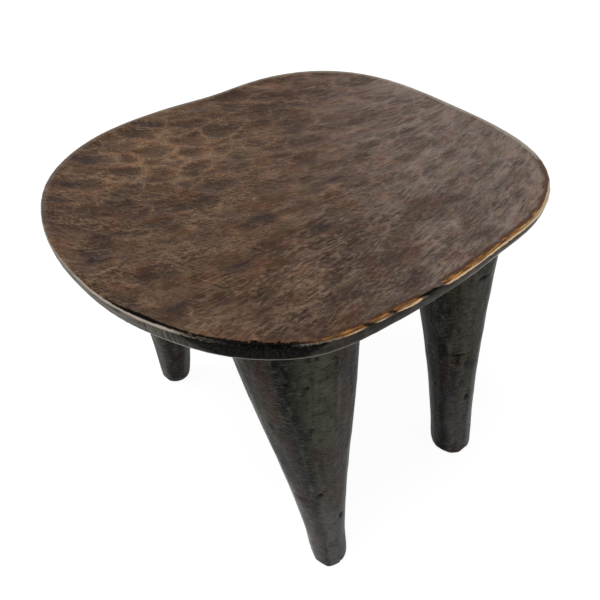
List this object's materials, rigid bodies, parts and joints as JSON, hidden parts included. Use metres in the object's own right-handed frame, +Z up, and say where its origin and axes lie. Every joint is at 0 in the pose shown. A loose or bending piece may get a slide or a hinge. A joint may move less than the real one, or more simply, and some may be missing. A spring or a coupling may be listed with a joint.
{
  "type": "stool",
  "caption": "Low hand-carved wooden stool: a rounded, gently dished seat slab on tapered, splayed legs held in blind wedged mortises.",
  "frame": {"origin": "on the floor under the middle of the seat's outline box", "axes": "+X along the seat's length, +Y across its depth towards the back, +Z up"},
  "size_m": [0.428, 0.373, 0.312],
  "materials": {
    "seat_wood": "dark brown stain, adzed and scraped, polished by use, worn to bare wood along the front edge",
    "leg_wood": "near-black stain, hewn in long facets, satin",
    "wedge_wood": "raw, split"
  },
  "bodies": {
    "root": {"seat": "seat_wood", "leg_front_left": "leg_wood", "leg_front_right": "leg_wood", "leg_back_left": "leg_wood", "leg_back_right": "leg_wood", "wedge_front_left": "wedge_wood", "wedge_front_right": "wedge_wood", "wedge_back_left": "wedge_wood", "wedge_back_right": "wedge_wood"}
  },
  "joints": []
}
